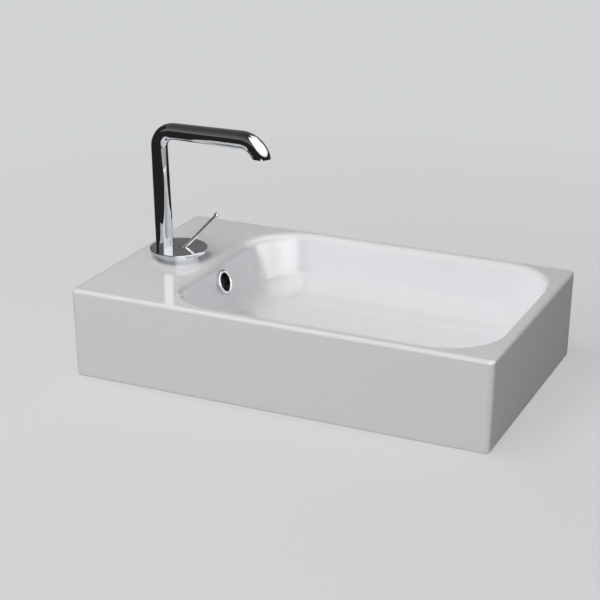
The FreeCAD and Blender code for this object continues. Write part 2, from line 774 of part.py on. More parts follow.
def lever_parts():
    tilt = "(90 - lever_elevation)"
    pin = cross_bar("lever_pin", "pin_radius", "pin_length")
    barrel = cross_bar("RodBarrel", "barrel_radius", "barrel_length")
    shaft = cylinder("RodShaft", "rod_radius", "rod_length")
    aim(shaft, "lever_x", "pivot_z", "lever_azimuth", tilt)
    hinge_bore = cross_bar("RodHingeBore", "pin_radius + running_gap", "(2 * barrel_length)")
    rod = cut("lever_rod", join("RodSolid", [barrel, shaft]), hinge_bore)
    ball = doc.addObject("Part::Sphere", "KnobBall")
    bind(ball, "Radius", "knob_radius")
    aim(ball, "lever_x", "pivot_z", "lever_azimuth", tilt, "rod_length")
    socket = cylinder("KnobSocket", "rod_radius + thread_gap / 2", "2 * knob_radius")
    aim(socket, "lever_x", "pivot_z", "lever_azimuth", tilt, "rod_length - 2 * knob_radius")
    knob = cut("lever_knob", ball, socket)
    return [lever_turret(), pin, rod, knob]


# Spout: a leaning column, an elbow, a level arm and a beak that turns down to the outlet
def torus_bend(name, ring, tube, angle, x, z, axes):
    bend = doc.addObject("Part::Torus", name)
    bind(bend, "Radius1", ring)
    bind(bend, "Radius2", tube)
    bind(bend, "Angle3", angle)
    bend.Placement.Rotation = Rotation(*axes)
    place(bend, x, "0", z)
    return bend


def cone(name, start, end, length, x, z, pitch, along="0"):
    solid = doc.addObject("Part::Cone" if start != end else "Part::Cylinder", name)
    if start != end:
        bind(solid, "Radius1", start)
        bind(solid, "Radius2", end)
    else:
        bind(solid, "Radius", start)
    bind(solid, "Height", length)
    aim(solid, x, z, "0", pitch, along)
    return solid


def column_and_arm(name, foot, top, arm_end):
    """The column, elbow and arm of the spout for the given tube radii."""
    up, ahead, front = Vector(0, 0, 1), Vector(1, 0, 0), Vector(0, -1, 0)
    return [
        cone(name + "Column", foot, top, "column_length + column_sink", "column_x", "plate_top",
             "(-column_lean)", "-column_sink"),
        torus_bend(name + "Elbow", "elbow_radius", top, "90 + column_lean", "elbow_x",
                   "arm_z - elbow_radius", (up, -ahead, front)),
        cone(name + "Arm", top, arm_end, "beak_x - elbow_x", "elbow_x", "arm_z", "90")]


def beak():
    """The turned-down end of the spout, trimmed level at the outlet, with its rim eased."""
    up, ahead, back = Vector(0, 0, 1), Vector(1, 0, 0), Vector(0, 1, 0)
    bend = torus_bend("BeakBend", "beak_radius", "arm_end_radius", "90", "beak_x",
                      "arm_z - beak_radius", (up, ahead, back))
    below = cylinder("BelowOutlet", "2 * arm_end_radius", "beak_radius")
    place(below, "outlet_x", "0", "outlet_z - beak_radius")
    trimmed = cut("BeakTrimmed", bend, below)
    doc.recompute()
    on_outlet = at_height("outlet_z")
    radius = size("outlet_edge_radius")
    eased = doc.addObject("Part::Fillet", "Beak")
    eased.Base = trimmed
    eased.Edges = [(index, radius, radius)
                   for index, edge in enumerate(trimmed.Shape.Edges, start=1) if on_outlet(edge)]
    return eased


def water_throat():
    """The slanting way from the arm's end down into the aerator's socket."""
    run = "(outlet_x - beak_x)"
    drop = "(arm_z - aerator_top)"
    throat = cylinder("WaterThroat", "throat_radius", f"sqrt({run} ^ 2 + {drop} ^ 2)")
    aim(throat, "beak_x", "arm_z", "0", f"(90 + atan({drop} / {run}) / 1 deg)")
    return throat


def spout():
    spigot = cylinder("SpoutSpigot", "socket_radius - socket_gap", "2 * socket_depth")
    place(spigot, "column_x", "0", "plate_top - socket_depth")
    tube = column_and_arm("Spout", "column_foot_radius", "column_top_radius", "arm_end_radius")
    below = cylinder("BelowPlate", "2 * column_foot_radius", "column_foot_radius")
    place(below, "column_x", "0", "plate_top - column_foot_radius")
    outside = cut("SpoutTube", join("SpoutRuns", tube), below)
    way = "waterway_radius"
    inlet = cylinder("WaterInlet", "throat_radius", "2 * socket_depth")
    place(inlet, "column_x", "0", "plate_top - socket_depth")
    socket = cylinder("AeratorSocket", "aerator_radius + socket_gap", "aerator_top - outlet_z")
    place(socket, "outlet_x", "0", "outlet_z")
    inside = column_and_arm("Water", way, way, way)
    return cut("spout", join("SpoutSolid", [spigot, outside, beak()]),
               join("SpoutHollow", [inlet, socket, water_throat()] + inside))


def aerator_parts():
    bore = "aerator_radius - aerator_wall"
    lip_top = "aerator_recess + screen_thickness"
    housing = turned_part("aerator_housing", (
        (f"{bore} - aerator_lip", "aerator_recess"), ("aerator_radius", "aerator_recess"),
        ("aerator_radius", "aerator_recess + aerator_length"), (bore, "aerator_recess + aerator_length"),
        (bore, lip_top), (f"{bore} - aerator_lip", lip_top)), "outlet_x", "outlet_z")
    screen = turned_part("aerator_screen", (
        ("0", lip_top), (f"{bore} - thread_gap", lip_top),
        (f"{bore} - thread_gap", f"{lip_top} + screen_thickness"),
        ("0", f"{lip_top} + screen_thickness")), "outlet_x", "outlet_z")
    for ring in range(1, SCREEN_RINGS + 1):
        hole = new_sketch(screen, f"ScreenHole{ring}", height=lip_top)
        draw_circle(hole, "screen_hole_radius", f"{ring} * screen_ring_step")
        pocket = pad(screen, hole, f"ScreenPocket{ring}", "screen_thickness", cut=True, backwards=True)
        repeat_around(screen, pocket, f"ScreenRing{ring}", HOLES_PER_RING_STEP * ring)
    return [housing, screen]


nodes = [basin_body(), overflow_ring()]
nodes += waste_parts() + plug_parts() + tap_parts() + lever_parts()
nodes += [spout()] + aerator_parts()
doc.recompute()

for thing in doc.Objects:
    faults = {"Invalid", "Error"} & set(thing.State)
    if faults:
        raise RuntimeError(f"{thing.Name}: {faults}")

os.makedirs("parts", exist_ok=True)
for node in nodes:
    shape = node.Shape
    if shape.isNull() or not shape.isValid():
        raise RuntimeError(f"{node.Label} has no valid solid")
    shape.exportStep(f"parts/{node.Label}.step")
    print(f"{node.Label}: {len(shape.Solids)} solid, {shape.Volume / 1000:.2f} cm3")
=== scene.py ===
# %% [markdown]
# # A countertop basin with its tap
# The basin is a block of white glazed china with a wide bowl and, at its left end, a flat deck that
# carries a slim chromed tap. The solids come from the CAD model, so every piece already has its real
# size and place, in metres. This lesson dresses them: it gives each piece the finish that the real
# one has, adds the screw thread that the solids leave out, and sets a plain studio round it all.

# %% Load the solids and keep their box
import json
import math

import bmesh
import bpy
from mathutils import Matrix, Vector


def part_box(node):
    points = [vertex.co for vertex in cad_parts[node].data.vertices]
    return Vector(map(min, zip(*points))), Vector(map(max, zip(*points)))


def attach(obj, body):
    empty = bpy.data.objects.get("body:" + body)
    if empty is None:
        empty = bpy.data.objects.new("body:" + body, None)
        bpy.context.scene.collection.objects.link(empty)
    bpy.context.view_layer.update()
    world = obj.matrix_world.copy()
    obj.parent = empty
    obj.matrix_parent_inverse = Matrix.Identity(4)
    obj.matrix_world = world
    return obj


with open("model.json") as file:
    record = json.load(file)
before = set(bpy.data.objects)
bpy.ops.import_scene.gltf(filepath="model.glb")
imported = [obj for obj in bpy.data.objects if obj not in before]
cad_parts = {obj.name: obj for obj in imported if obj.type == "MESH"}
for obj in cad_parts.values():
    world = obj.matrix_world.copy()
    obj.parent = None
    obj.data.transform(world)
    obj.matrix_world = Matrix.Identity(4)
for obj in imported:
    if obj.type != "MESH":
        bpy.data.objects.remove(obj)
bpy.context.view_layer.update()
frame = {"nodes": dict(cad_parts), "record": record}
nodes = frame["nodes"]
MM = 0.001  # a millimetre in metres, the scene's unit

# %% [markdown]
# ## Helpers for finishes
# A finish is a small tree of shader nodes. It could be drawn by hand in the node editor. In a script,
# one function that adds a node, sets its values and links its inputs lets each finish below read as a
# short recipe. Colours are picked as sRGB hex values, the way a colour picker shows them, and turned
# to linear light here, because the shaders work in it.


# %% Colour and node helpers
def linear(hex_code):
    """The linear RGBA of an sRGB hex colour."""
    parts = [int(hex_code[i:i + 2], 16) / 255 for i in (1, 3, 5)]
    return [c / 12.92 if c <= 0.04045 else ((c + 0.055) / 1.055) ** 2.4 for c in parts] + [1.0]


def add_node(tree, kind, inputs=None, **settings):
    """Adds a node with its settings; an input is a plain value or another node's output."""
    made = tree.nodes.new(kind)
    for name, value in settings.items():
        setattr(made, name, value)
    for name, value in (inputs or {}).items():
        if isinstance(value, bpy.types.NodeSocket):
            tree.links.new(value, made.inputs[name])
        else:
            made.inputs[name].default_value = value
    return made


def new_finish(name):
    """A material with an empty tree of nodes, and the tree."""
    finish = bpy.data.materials.new(name)
    finish.use_nodes = True
    finish.node_tree.nodes.clear()
    return finish, finish.node_tree


def per_metre(feature_mm):
    """The scale of a pattern whose features are this many millimetres apart."""
    return 1 / (feature_mm * MM)


print("sRGB #808080 in linear light:", round(linear("#808080")[0], 3))

# %% [markdown]
# ## Where the overflow's duct lies
# Behind the bowl's left wall a duct leads from the overflow down to the drain. No glaze gets into it,
# so its clay is bare and dull, and it is given a dark grey that is painted shade, standing for the
# shade deep in the hole. The duct could be marked on the mesh, but the solids are left as they are,
# so the place itself decides: a point is in the duct when it lies a few millimetres behind the sloping
# wall, near the basin's middle line and below the rim.


# %% Mask of the duct
WALL_SLOPE = 18  # degrees that the bowl's left wall leans back from upright
WALL_TOP_MM = (-143, 0, 105)  # a point of that wall, level with the rim
DUCT_DEPTHS_MM = (3, 18)  # the nearest and the farthest depth behind the wall
DUCT_TOP_MM, DUCT_HALF_WIDTH_MM = 98, 18.5


def inside_duct(tree, place):
    """One where the place lies in the overflow's duct, else zero."""
    slope = math.radians(WALL_SLOPE)
    facing = Vector((math.cos(slope), 0, math.sin(slope)))
    wall = facing.dot(Vector(WALL_TOP_MM) * MM)
    near_side, far_side = (wall - depth * MM for depth in DUCT_DEPTHS_MM)
    ahead = add_node(tree, "ShaderNodeVectorMath", {0: place, 1: facing},
                     operation="DOT_PRODUCT").outputs["Value"]
    parts = add_node(tree, "ShaderNodeSeparateXYZ", {"Vector": place}).outputs
    aside = add_node(tree, "ShaderNodeMath", {0: parts["Y"]}, operation="ABSOLUTE").outputs["Value"]
    tests = ((ahead, "LESS_THAN", near_side), (ahead, "GREATER_THAN", far_side),
             (parts["Z"], "LESS_THAN", DUCT_TOP_MM * MM),
             (aside, "LESS_THAN", DUCT_HALF_WIDTH_MM * MM))
    share = 1.0
    for value, test, limit in tests:
        passed = add_node(tree, "ShaderNodeMath", {0: value, 1: limit}, operation=test)
        share = add_node(tree, "ShaderNodeMath", {0: share, 1: passed.outputs["Value"]},
                         operation="MULTIPLY").outputs["Value"]
    return share


print("duct:", DUCT_DEPTHS_MM[1] - DUCT_DEPTHS_MM[0], "mm deep,", 2 * DUCT_HALF_WIDTH_MM, "mm wide")

# %% [markdown]
# ## Glazed china
# Sanitary china is a white clay body under a clear, glassy glaze that is fired on. The eye gets a
# soft white from the body and a sharp, weak mirror from the glaze. A glaze is never quite flat: it
# has a faint orange peel a few millimetres wide. Two shaders could be mixed for this, but a coat layer
# over a soft base gives both in one. What faces down, the foot and the roof of the hollow, stood on
# the kiln's shelf or out of reach of the spray, so it is bare clay, and the surface's own direction
# tells where.


# %% Glazed china
CLOUD_MM, PEEL_MM = 90, 7  # widths of the body's faint clouds and of the glaze's orange peel
PEEL_HEIGHT_MM = 0.2
BARE_FROM, BARE_FULLY = -0.8, -0.95  # upward parts of a normal that looks down


def glazed_china():
    """White china: glazed above, bare clay below, painted shade on the dull clay in the duct."""
    finish, tree = new_finish("glazed_china")
    place = add_node(tree, "ShaderNodeTexCoord").outputs["Object"]
    cloud = add_node(tree, "ShaderNodeTexNoise", {
        "Vector": place, "Scale": per_metre(CLOUD_MM), "Detail": 2.0})
    tone = add_node(tree, "ShaderNodeMix", {
        "Factor": cloud.outputs["Fac"], "A": linear("#f3f4f6"), "B": linear("#f4f5f7")},
        data_type="RGBA")
    peel = add_node(tree, "ShaderNodeTexNoise", {
        "Vector": place, "Scale": per_metre(PEEL_MM), "Detail": 1.0})
    bump = add_node(tree, "ShaderNodeBump", {
        "Height": peel.outputs["Fac"], "Strength": 0.02, "Distance": PEEL_HEIGHT_MM * MM})
    # A cool, milky white that shows every soft shadow, under a clear skin with crisp highlights.
    glaze = add_node(tree, "ShaderNodeBsdfPrincipled", {
        "Base Color": tone.outputs["Result"], "Roughness": 0.28, "IOR": 1.5, "Coat Weight": 1.0,
        "Coat Roughness": 0.035, "Coat IOR": 1.52,
        "Normal": bump.outputs["Normal"], "Coat Normal": bump.outputs["Normal"]})
    # Fired clay without glaze: dull and creamy, with no highlight at all.
    clay = add_node(tree, "ShaderNodeBsdfPrincipled", {
        "Base Color": linear("#dcd8cf"), "Roughness": 0.75})
    facing = add_node(tree, "ShaderNodeSeparateXYZ", {
        "Vector": add_node(tree, "ShaderNodeNewGeometry").outputs["Normal"]})
    bare = add_node(tree, "ShaderNodeMapRange", {
        "Value": facing.outputs["Z"], "From Min": BARE_FROM, "From Max": BARE_FULLY})
    fired = add_node(tree, "ShaderNodeMixShader", {
        "Fac": bare.outputs["Result"], 1: glaze.outputs["BSDF"], 2: clay.outputs["BSDF"]})
    # Bare clay in the duct, dull and a dark grey that is painted shade, so that the overflow reads as
    # a deep hole.
    duct_shade = add_node(tree, "ShaderNodeBsdfPrincipled", {
        "Base Color": linear("#6b6865"), "Roughness": 0.8})
    whole = add_node(tree, "ShaderNodeMixShader", {
        "Fac": inside_duct(tree, place), 1: fired.outputs["Shader"], 2: duct_shade.outputs["BSDF"]})
    add_node(tree, "ShaderNodeOutputMaterial", {"Surface": whole.outputs["Shader"]})
    return finish


china = glazed_china()
print("finish:", china.name)

# %% [markdown]
# ## Chrome, brass and steel
# The tap and the parts of the waste that show are brass plated with bright chrome: almost a mirror,
# with a faint unevenness from polishing. The shank, the nuts and the plug's stem are turned brass,
# left bare where they are out of sight. The washer and the lever's pin are plain steel. A photograph
# of metal could be wrapped round a piece, but metal is mostly what it mirrors, so a metallic shader
# with a little roughness says more.


# %% Metals
WIPE_MM = 12  # width of the marks that polishing leaves
BAND_HEIGHT_MM = 0.1
WAVE_BANDS = 20 / math.tau  # bands per metre of a wave texture of scale one


def polished_chrome():
    """Bright plate that gives the eye a cool mirror, with dark edges and no colour of its own."""
    finish, tree = new_finish("polished_chrome")
    place = add_node(tree, "ShaderNodeTexCoord").outputs["Object"]
    wipe = add_node(tree, "ShaderNodeTexNoise", {
        "Vector": place, "Scale": per_metre(WIPE_MM), "Detail": 3.0})
    rough = add_node(tree, "ShaderNodeMapRange", {
        "Value": wipe.outputs["Fac"], "To Min": 0.02, "To Max": 0.06})
    metal = add_node(tree, "ShaderNodeBsdfPrincipled", {
        "Base Color": linear("#dcdee0"), "Metallic": 1.0, "Roughness": rough.outputs["Result"]})
    add_node(tree, "ShaderNodeOutputMaterial", {"Surface": metal.outputs["BSDF"]})
    return finish


def bare_metal(name, colour, dark, band_mm, roughness):
    """Metal with a satin gleam and the bands that the tool left on it.

    The real marks are a tenth of a millimetre wide, too fine to show, so they are drawn coarser.
    """
    finish, tree = new_finish(name)
    place = add_node(tree, "ShaderNodeTexCoord").outputs["Object"]
    bands = add_node(tree, "ShaderNodeTexWave", {
        "Vector": place, "Scale": per_metre(band_mm) / WAVE_BANDS, "Distortion": 0.4, "Detail": 2.0},
        wave_type="BANDS", bands_direction="Z")
    tone = add_node(tree, "ShaderNodeMix", {
        "Factor": bands.outputs["Fac"], "A": linear(dark), "B": linear(colour)}, data_type="RGBA")
    bump = add_node(tree, "ShaderNodeBump", {
        "Height": bands.outputs["Fac"], "Strength": 0.1, "Distance": BAND_HEIGHT_MM * MM})
    metal = add_node(tree, "ShaderNodeBsdfPrincipled", {
        "Base Color": tone.outputs["Result"], "Metallic": 1.0, "Roughness": roughness,
        "Normal": bump.outputs["Normal"]})
    add_node(tree, "ShaderNodeOutputMaterial", {"Surface": metal.outputs["BSDF"]})
    return finish


chrome = polished_chrome()
# Turned brass gives a warm yellow gleam, and stamped steel a duller, neutral grey one.
brass = bare_metal("turned_brass", colour="#c9a35c", dark="#b08a45", band_mm=6.28, roughness=0.3)
steel = bare_metal("stamped_steel", colour="#a9abad", dark="#8f9193", band_mm=12.57, roughness=0.38)
print("finishes:", chrome.name, brass.name, steel.name)

# %% [markdown]
# ## Rubber and plastic
# Seals are moulded from black rubber. The plug's guide, the tap's cartridge and the aerator's screen
# are moulded from acetal, a hard plastic that stands up to hot water. Both take their surface from
# the mould, so one recipe with other colours and another gloss does for both. The grain of a mould is
# finer than the picture can show, so it is drawn about a millimetre wide.


# %% Rubber and plastic
GRAIN_HEIGHT_MM = 0.1


def moulded(name, colour, shade, grain_mm, roughness):
    """A moulded surface: an even colour with a fine grain from the mould."""
    finish, tree = new_finish(name)
    place = add_node(tree, "ShaderNodeTexCoord").outputs["Object"]
    grain = add_node(tree, "ShaderNodeTexNoise", {
        "Vector": place, "Scale": per_metre(grain_mm), "Detail": 4.0})
    tone = add_node(tree, "ShaderNodeMix", {
        "Factor": grain.outputs["Fac"], "A": linear(shade), "B": linear(colour)}, data_type="RGBA")
    bump = add_node(tree, "ShaderNodeBump", {
        "Height": grain.outputs["Fac"], "Strength": 0.15, "Distance": GRAIN_HEIGHT_MM * MM})
    body = add_node(tree, "ShaderNodeBsdfPrincipled", {
        "Base Color": tone.outputs["Result"], "Roughness": roughness,
        "Normal": bump.outputs["Normal"]})
    add_node(tree, "ShaderNodeOutputMaterial", {"Surface": body.outputs["BSDF"]})
    return finish


# Rubber gives a matt black line round a joint, and acetal a milky off-white with a soft sheen.
rubber = moulded("seal_rubber", colour="#262627", shade="#1b1b1c", grain_mm=0.8, roughness=0.72)
plastic = moulded("moulded_acetal", colour="#e4e3de", shade="#d8d7d1", grain_mm=1.2, roughness=0.45)
print("finishes:", rubber.name, plastic.name)

# %% [markdown]
# ## Dress the solids
# Each solid could be given its finish by name. The record already states a material slot for every
# one, so a table from slot to finish dresses them all and forgets none. The mesh of a solid is left
# alone: only its material slots change.

# %% Give each solid its finish
slot_finish = {"glazed_china": china, "chrome": chrome, "seal_rubber": rubber, "brass": brass,
               "steel": steel, "moulded_plastic": plastic}
for part in frame["record"]["subparts"]:
    mesh = nodes[part["node"]].data
    mesh.materials.clear()
    mesh.materials.append(slot_finish[part["material_slot"]])

# %% [markdown]
# ## The thread on the shank
# Under the deck a brass nut holds the tap by its threaded shank, which the solids show as a plain
# cylinder. A thread could be faked with a bump, but its outline would stay straight. It is one sharp
# ridge that climbs as it goes round, so a three-cornered outline is spun about the shank's axis with
# a small step up each time. Only the bare stretch under the nut gets it, because the rest is out of
# sight inside the nut, the washers and the deck.


# %% Thread
THREAD_PITCH, THREAD_DEPTH = 1.5 * MM, 0.5 * MM
RIDGE_WIDTH = 0.8 * THREAD_PITCH
RIDGE_SINK = THREAD_DEPTH / 4  # how far the ridge's foot is let into the shank
STEPS_PER_TURN = 60


def screw_ridge(name, axis_x, radius, low, high):
    """A ridge of triangular section wound round an upright axis between two heights."""
    steps = int((high - low) / THREAD_PITCH - 1) * STEPS_PER_TURN
    root, crest = radius - RIDGE_SINK, radius + THREAD_DEPTH
    section = ((root, 0), (root, RIDGE_WIDTH), (crest, RIDGE_WIDTH / 2))
    build = bmesh.new()
    corners = [build.verts.new((axis_x + out, 0, low + up)) for out, up in section]
    sides = [build.edges.new((corners[i - 1], corners[i])) for i in (1, 2, 0)]
    bmesh.ops.spin(build, geom=corners + sides, cent=(axis_x, 0, 0), axis=(0, 0, 1), steps=steps,
                   angle=steps / STEPS_PER_TURN * math.tau, dvec=(0, 0, THREAD_PITCH / STEPS_PER_TURN))
    bmesh.ops.holes_fill(build, edges=[edge for edge in build.edges if edge.is_boundary], sides=3)
    bmesh.ops.recalc_face_normals(build, faces=build.faces)
    mesh = bpy.data.meshes.new(name)
    build.to_mesh(mesh)
    build.free()
    mesh.materials.append(brass)
    ridge = bpy.data.objects.new(name, mesh)
    bpy.context.scene.collection.objects.link(ridge)
    return ridge


shank_low, shank_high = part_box("tap_shank")
nut_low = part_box("shank_nut")[0]
thread = screw_ridge("shank_thread", axis_x=(shank_low.x + shank_high.x) / 2,
                     radius=(shank_high.y - shank_low.y) / 2, low=shank_low.z, high=nut_low.z)
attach(thread, "basin")
print("thread:", len(thread.data.polygons), "faces on",
      round((nut_low.z - shank_low.z) / MM, 1), "mm of shank")

# %% [markdown]
# ## Studio floor
# The basin stands on a pale paper floor that runs past the picture's edges. A plane that catches
# only the shadow would need a second picture behind it, so the paper is lit like everything else and
# keeps the shadow. For the camera it is lifted towards an even pale grey, more so far from the basin,
# and for light that bounces back on to the china it is a darker grey, so that the china is not lit
# from below.


# %% Floor
FLOOR_REACH = 15  # metres from the middle to each edge
FLOOR_DROP_MM = 0.2  # just under the basin's foot, so that the two faces do not fight
FIBRE_MM = 400  # paper's fibres are too fine to show, so they are drawn as wide, faint clouds
LIFT_FROM, LIFT_TO = 0.3, 1.1  # distances from the basin in metres
LIFT_NEAR, LIFT_FAR = 0.6, 0.95  # share of even grey at those distances


def level_sheet(name, low, high, height, finish):
    """A level rectangle between two corners, given in metres."""
    build = bmesh.new()
    bmesh.ops.create_grid(build, x_segments=1, y_segments=1, size=0.5)  # one metre square
    bmesh.ops.scale(build, vec=(high[0] - low[0], high[1] - low[1], 1), verts=build.verts)
    middle = ((low[0] + high[0]) / 2, (low[1] + high[1]) / 2, height)
    bmesh.ops.translate(build, vec=middle, verts=build.verts)
    mesh = bpy.data.meshes.new(name)
    build.to_mesh(mesh)
    build.free()
    mesh.materials.append(finish)
    sheet = bpy.data.objects.new(name, mesh)
    bpy.context.scene.collection.objects.link(sheet)
    return sheet


def paper_floor():
    """Matt paper without any gloss: it gives the eye a soft shadow on an even ground."""
    finish, tree = new_finish("studio_paper")
    place = add_node(tree, "ShaderNodeTexCoord").outputs["Object"]
    ray = add_node(tree, "ShaderNodeLightPath")
    fibre = add_node(tree, "ShaderNodeTexNoise", {
        "Vector": place, "Scale": per_metre(FIBRE_MM), "Detail": 2.0})
    pale = add_node(tree, "ShaderNodeMix", {
        "Factor": fibre.outputs["Fac"], "A": linear("#e4e5e6"), "B": linear("#e8e9ea")},
        data_type="RGBA")
    tone = add_node(tree, "ShaderNodeMix", {
        "Factor": ray.outputs["Is Diffuse Ray"], "A": pale.outputs["Result"], "B": linear("#a4a6a8")},
        data_type="RGBA")
    paper = add_node(tree, "ShaderNodeBsdfDiffuse", {"Color": tone.outputs["Result"]})
    even = add_node(tree, "ShaderNodeEmission", {"Color": linear("#d3d5d7"), "Strength": 1.0})
    away = add_node(tree, "ShaderNodeVectorMath", {0: place}, operation="LENGTH")
    even_share = add_node(tree, "ShaderNodeMapRange", {
        "Value": away.outputs["Value"], "From Min": LIFT_FROM, "From Max": LIFT_TO,
        "To Min": LIFT_NEAR, "To Max": LIFT_FAR})
    lift = add_node(tree, "ShaderNodeMath", {
        0: ray.outputs["Is Camera Ray"], 1: even_share.outputs["Result"]}, operation="MULTIPLY")
    seen = add_node(tree, "ShaderNodeMixShader", {
        "Fac": lift.outputs["Value"], 1: paper.outputs["BSDF"], 2: even.outputs["Emission"]})
    add_node(tree, "ShaderNodeOutputMaterial", {"Surface": seen.outputs["Shader"]})
    return finish


floor = level_sheet("floor", low=(-FLOOR_REACH, -FLOOR_REACH), high=(FLOOR_REACH, FLOOR_REACH),
                    height=-FLOOR_DROP_MM * MM, finish=paper_floor())
print("floor in metres:", floor.dimensions[:2])

# %% [markdown]
# ## Lamps
# A large soft lamp in front, a little to the left, lights the front. A second one, high up at the
# left, lights the deck and the inside of the bowl, and a low, flat one at the right lifts the shaded
# end without reaching over the rim into the bowl. One bright sky would be less work, but it would
# light all sides alike and leave the white block without form. No lamp shows as a shape in the glaze
# or the chrome: what they mirror comes in the next steps.


# %% Lamps
BASIN_MIDDLE = Vector((0, 0, 0.1))
LAMP_DISTANCE = 3.0  # metres


def towards(azimuth, elevation):
    """A direction: azimuth 0 is the front, 90 the right, in degrees."""
    a, e = math.radians(azimuth), math.radians(elevation)
    return Vector((math.sin(a) * math.cos(e), -math.cos(a) * math.cos(e), math.sin(e)))


def soft_lamp(name, place, aim, width, height, power):
    """A rectangular lamp at a place, turned to face a point and kept out of reflections."""
    lamp = bpy.data.lights.new(name, "AREA")
    lamp.shape = "RECTANGLE"
    lamp.size, lamp.size_y = width, height
    lamp.energy = power
    stand = bpy.data.objects.new(name, lamp)
    stand.location = place
    stand.rotation_euler = (Vector(place) - Vector(aim)).to_track_quat("Z", "Y").to_euler()
    stand.visible_glossy = False
    bpy.context.scene.collection.objects.link(stand)


soft_lamp("key_lamp", place=BASIN_MIDDLE + LAMP_DISTANCE * towards(azimuth=-11, elevation=26),
          aim=BASIN_MIDDLE, width=1.6, height=1.6, power=28.8)
soft_lamp("top_lamp", place=(-0.52, -0.3, 1.5),
          aim=(0.1, 0.05, 0.05), width=0.8, height=0.8, power=7.7)
soft_lamp("fill_lamp", place=BASIN_MIDDLE + LAMP_DISTANCE * towards(azimuth=85, elevation=1),
          aim=BASIN_MIDDLE, width=1.6, height=0.3, power=16.5)

# %% [markdown]
# ## Black cards for the chrome
# Chrome has no colour of its own: it shows its surroundings. In a studio, black cards stand round it,
# so that a slim tap gets the dark edges that make it read as metal. One lies on the floor, mostly in
# front and at the left, one stands low almost all round, and one stands higher at the left for the
# lever's rod. They could be plain dark planes, but a plane takes its tone from the lamps. A card that
# glows in its own near-black stays as it is chosen. All cards are seen in reflections only.


# %% Black cards
CARD_STEPS = 24  # flat strips in a curved card
CARD_DISTANCE = 3.0  # metres
FLOOR_CARD_HEIGHT_MM = 0.5


def only_in_reflections(card):
    """Hides a card from the camera and from everything but mirrors."""
    card.visible_camera = False
    card.visible_diffuse = False
    card.visible_shadow = False
    card.visible_transmission = False


def upright(distance, low, high):
    """The profile of an upright card between two elevations, as (distance, height) points."""
    return [(distance, distance * math.tan(math.radians(elevation))) for elevation in (low, high)]


def standing_card(name, azimuths, profile, centre, finish):
    """A card swept round a centre from one azimuth to another, with its profile seen from there."""
    build = bmesh.new()
    points = [build.verts.new(centre + towards(azimuths[0], 0) * distance + Vector((0, 0, height)))
              for distance, height in profile]
    edges = [build.edges.new(pair) for pair in zip(points, points[1:])]
    bmesh.ops.spin(build, geom=points + edges, cent=centre, axis=(0, 0, 1), steps=CARD_STEPS,
                   angle=math.radians(azimuths[1] - azimuths[0]))
    mesh = bpy.data.meshes.new(name)
    build.to_mesh(mesh)
    build.free()
    mesh.materials.append(finish)
    card = bpy.data.objects.new(name, mesh)
    bpy.context.scene.collection.objects.link(card)
    only_in_reflections(card)


# Black card gives the mirror a deep grey that is still lighter than a hole.
black_card, card_tree = new_finish("black_card")
card_glow = add_node(card_tree, "ShaderNodeEmission", {"Color": linear("#282828"), "Strength": 1.0})
add_node(card_tree, "ShaderNodeOutputMaterial", {"Surface": card_glow.outputs["Emission"]})
only_in_reflections(level_sheet("dark_floor_card", low=(-4, -4), high=(0.6, 1.6),
                                height=FLOOR_CARD_HEIGHT_MM * MM, finish=black_card))
standing_card("dark_side_card", azimuths=(-140, 178), profile=upright(CARD_DISTANCE, low=-10, high=15),
              centre=BASIN_MIDDLE, finish=black_card)
standing_card("dark_lever_card", azimuths=(-118, -60), profile=upright(CARD_DISTANCE, low=14, high=42),
              centre=BASIN_MIDDLE, finish=black_card)

# %% [markdown]
# ## Windows for the chrome and the glaze
# Bright cards stand for windows. A tall one at the right is mirrored as the white oval on the spout's
# beak and, by way of the glossy deck, as the pale strip up its column. It is dimmer at its foot, so
# that the deck does not glare. A high one at the back adds a glint where a surface looks up and to
# the right, such as the top of the beak. A low one, close by, is mirrored as the white patch in the
# back left corner of the bowl. A card with one even tone would have hard edges in the glaze, so each
# fades at its ends, its foot and its head.


